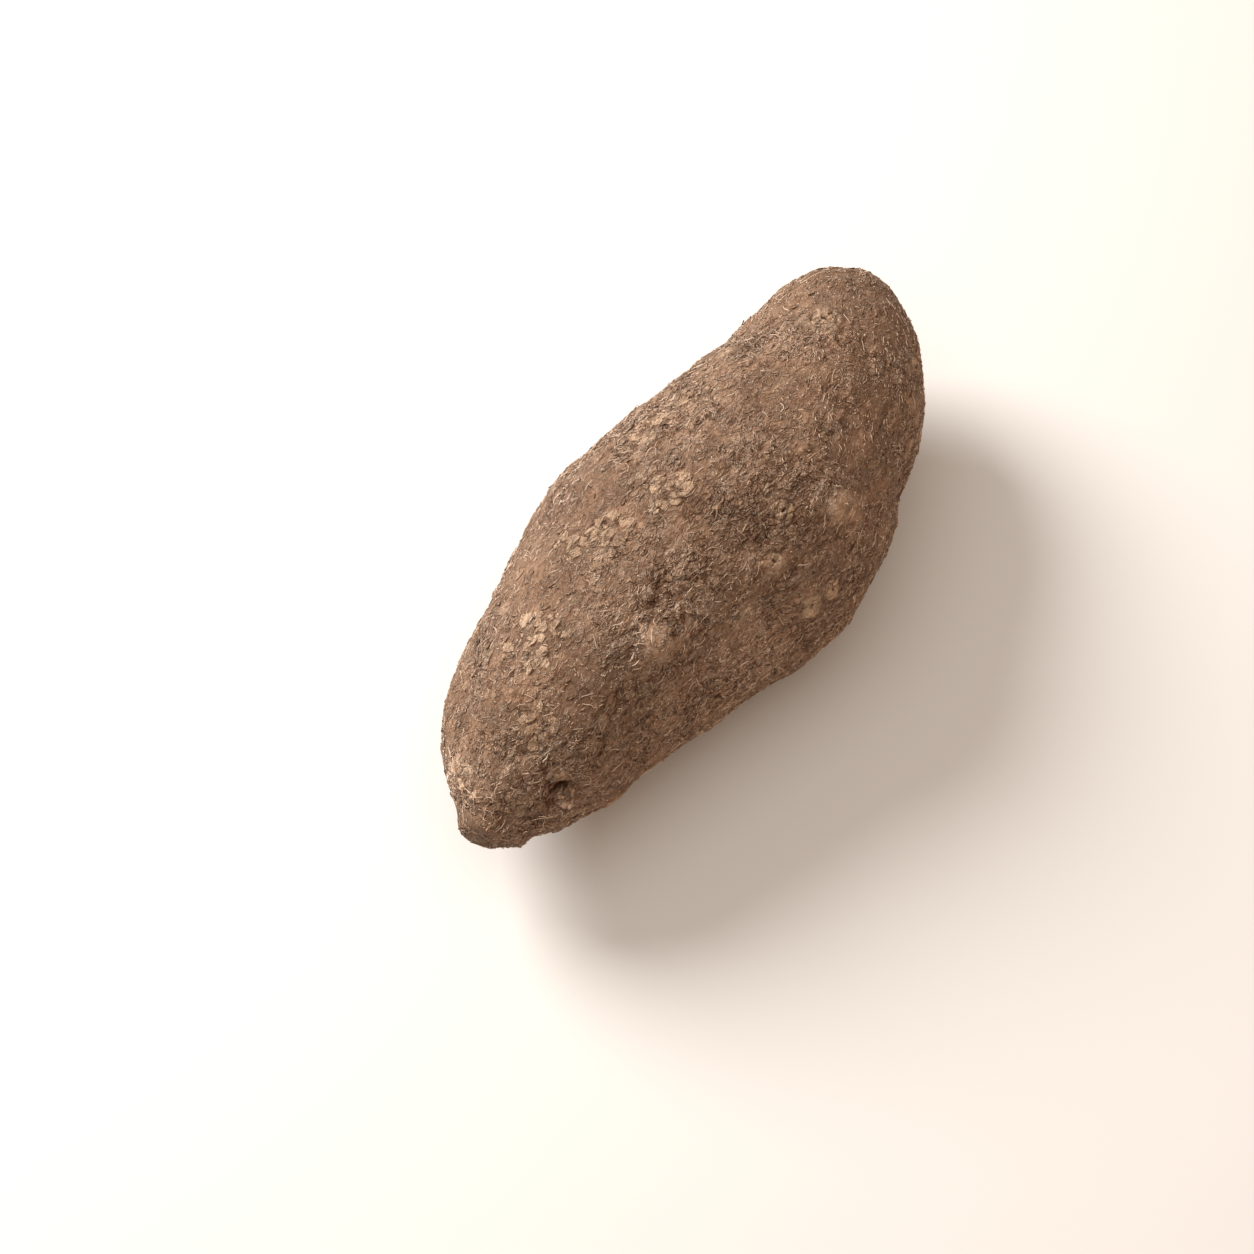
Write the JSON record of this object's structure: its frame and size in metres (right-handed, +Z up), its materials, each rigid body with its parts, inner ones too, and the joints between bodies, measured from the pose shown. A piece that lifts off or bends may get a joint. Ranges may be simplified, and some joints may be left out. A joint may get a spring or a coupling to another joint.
{
  "type": "yam tuber",
  "caption": "Whole yam tuber with rough brown bark: a blunt, slightly bent body with a corky stem scar, root eyes and scabs, lying on its belly.",
  "frame": {"origin": "on the surface that the tuber lies on, under the middle of its length and breadth", "axes": "+X along the tuber from its stem scar to its blunt growing tip, +Y to its left side seen from the scar, +Z up"},
  "size_m": [0.2124, 0.0928, 0.0801],
  "materials": {
    "bark": "dull, rough brown bark with paler fibres and scabs"
  },
  "bodies": {
    "root": {"tuber": "bark"}
  },
  "joints": []
}
